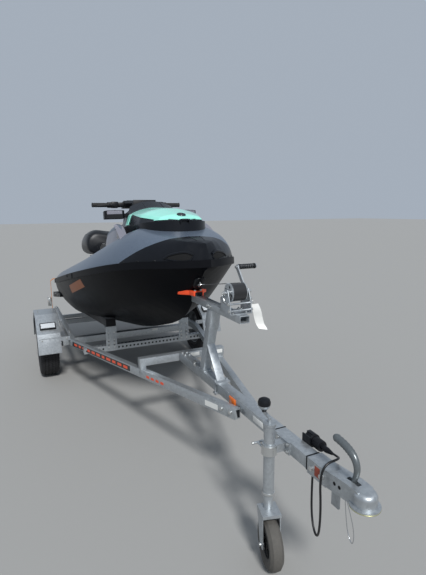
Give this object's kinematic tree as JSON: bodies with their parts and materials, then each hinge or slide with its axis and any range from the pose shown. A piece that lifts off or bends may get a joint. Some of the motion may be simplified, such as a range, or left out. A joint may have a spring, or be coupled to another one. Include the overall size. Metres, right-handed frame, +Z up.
{
  "type": "personal watercraft on a road trailer",
  "caption": "Three-seat jet-driven personal watercraft strapped on a single-axle galvanised road trailer with a hand winch and a jockey wheel.",
  "frame": {"origin": "on the ground, midway between the coupling's tip and the rearmost point, in the middle plane", "axes": "+X towards the bow and the coupling, +Y to port, +Z up"},
  "size_m": [4.6729, 1.764, 1.6218],
  "materials": {
    "hull_black": "gloss",
    "deck_grey": "satin metallic",
    "trim_black": "matte",
    "rail_rubber": "matte",
    "mint": "gloss",
    "hood_dark": "satin",
    "mirror_glass": "polished",
    "seat_vinyl": "vinyl",
    "galvanised": "hot-dip galvanised",
    "steel_rod": "bright",
    "pump_alloy": "cast",
    "impeller_steel": "polished",
    "engine_grey": "plain",
    "tyre": "matte",
    "rim_steel": "silver",
    "carpet": "carpet",
    "stop_orange": "satin",
    "webbing_orange": "woven webbing",
    "webbing_dark": "woven webbing",
    "lamp": "gloss",
    "grip_rubber": "matte",
    "lever_black": "satin",
    "jockey_rubber": "matte",
    "cable_black": "satin"
  },
  "bodies": {
    "craft_and_trailer": {"hull": "hull_black", "deck": "deck_grey", "bow_fairing": "trim_black", "gunwale_rail": "rail_rubber", "console_base": "trim_black", "knee_panels": "deck_grey", "steering_tower": "trim_black", "driver_seat": "seat_vinyl", "passenger_seat": "seat_vinyl", "grab_handle": "trim_black", "sponsons": "trim_black", "tow_eyes": "steel_rod", "intake_grate": "pump_alloy", "ride_plate": "pump_alloy", "jet_pump": "pump_alloy", "engine": "engine_grey", "drawbar": "galvanised", "side_rails": "galvanised", "cross_members": "galvanised", "axle": "galvanised", "mudguards": "galvanised", "mudguard_arms": "galvanised", "lamps": "lamp", "bunk_supports": "galvanised", "bunks": "carpet", "winch_post": "galvanised", "winch_arm": "galvanised", "bow_stop": "stop_orange", "winch_frame": "galvanised", "winch_strap": "webbing_dark", "coupling_body": "galvanised", "jockey_clamp": "galvanised", "plug": "trim_black", "cable": "cable_black", "safety_cable": "steel_rod", "tie_strap": "webbing_orange", "ratchets": "steel_rod"},
    "hood": {"hood": "hood_dark", "hood_panel": "mint", "mirrors": "trim_black"},
    "glovebox_lid": {"glovebox_lid": "trim_black"},
    "handlebar": {"handlebar": "trim_black", "handlebar_pad": "trim_black", "grips": "grip_rubber"},
    "steering_nozzle": {"steering_nozzle": "pump_alloy"},
    "reverse_bucket": {"reverse_bucket": "trim_black"},
    "impeller": {"impeller": "impeller_steel"},
    "wheel_left": {"tyre_left": "tyre", "rim_left": "rim_steel"},
    "wheel_right": {"tyre_right": "tyre", "rim_right": "rim_steel"},
    "jockey_tube": {"jockey_tube": "galvanised"},
    "jockey_fork": {"jockey_fork": "galvanised"},
    "jockey_wheel": {"jockey_wheel": "jockey_rubber"},
    "coupling_lever": {"coupling_lever": "lever_black"},
    "winch_drum": {"winch_drum": "galvanised"},
    "winch_crank": {"winch_crank": "galvanised"}
  },
  "joints": [
    {"name": "hood_hinge", "type": "hinge", "parent": "craft_and_trailer", "child": "hood", "pos_m": [0.6497, 0, 1.47154], "axis": [0, 1, 0], "range_deg": [0, 60]},
    {"name": "glovebox_hinge", "type": "hinge", "parent": "craft_and_trailer", "child": "glovebox_lid", "pos_m": [-0.46243, 0, 1.46401], "axis": [0, 1, 0], "range_deg": [0, 60]},
    {"name": "steering", "type": "hinge", "parent": "craft_and_trailer", "child": "handlebar", "pos_m": [-0.46436, 0, 1.58311], "axis": [-0.5045, 0, 0.8634], "range_deg": [-25, 25]},
    {"name": "nozzle_swing", "type": "hinge", "parent": "craft_and_trailer", "child": "steering_nozzle", "pos_m": [-2.11913, 0, 0.47552], "axis": [-0.0924, 0, 0.9957], "range_deg": [-20, 20]},
    {"name": "reverse_swing", "type": "hinge", "parent": "craft_and_trailer", "child": "reverse_bucket", "pos_m": [-2.17389, 0, 0.47044], "axis": [0, 1, 0], "range_deg": [-55, 0]},
    {"name": "impeller_spin", "type": "hinge", "parent": "craft_and_trailer", "child": "impeller", "pos_m": [-1.84531, 0, 0.50092], "axis": [0.9957, 0, 0.0924], "continuous": true},
    {"name": "wheel_left_spin", "type": "hinge", "parent": "craft_and_trailer", "child": "wheel_left", "pos_m": [-0.97953, 0.785, 0.28], "axis": [0, 1, 0], "continuous": true},
    {"name": "wheel_right_spin", "type": "hinge", "parent": "craft_and_trailer", "child": "wheel_right", "pos_m": [-0.97953, -0.785, 0.28], "axis": [0, 1, 0], "continuous": true},
    {"name": "jockey_height", "type": "slide", "parent": "craft_and_trailer", "child": "jockey_tube", "axis": [0, 0, 1], "range_m": [0, 0.042]},
    {"name": "jockey_swivel", "type": "hinge", "parent": "jockey_tube", "child": "jockey_fork", "pos_m": [1.84247, -0.106, 0.24], "axis": [0, 0, 1], "continuous": true},
    {"name": "jockey_spin", "type": "hinge", "parent": "jockey_fork", "child": "jockey_wheel", "pos_m": [1.88111, -0.11635, 0.11], "axis": [0.2588, 0.9659, 0], "continuous": true},
    {"name": "coupling_lock", "type": "hinge", "parent": "craft_and_trailer", "child": "coupling_lever", "pos_m": [2.22047, 0, 0.57], "axis": [0, 1, 0], "range_deg": [0, 25]},
    {"name": "winch_drum_spin", "type": "hinge", "parent": "craft_and_trailer", "child": "winch_drum", "pos_m": [1.35547, 0, 1.118], "axis": [0, 1, 0], "continuous": true},
    {"name": "winch_crank_spin", "type": "hinge", "parent": "craft_and_trailer", "child": "winch_crank", "pos_m": [1.32106, 0, 1.06885], "axis": [0, 1, 0], "continuous": true}
  ],
  "couplings": [
    {"joint": "nozzle_swing", "follows": "steering", "ratio": -0.8},
    {"joint": "winch_crank_spin", "follows": "winch_drum_spin", "ratio": -4}
  ]
}
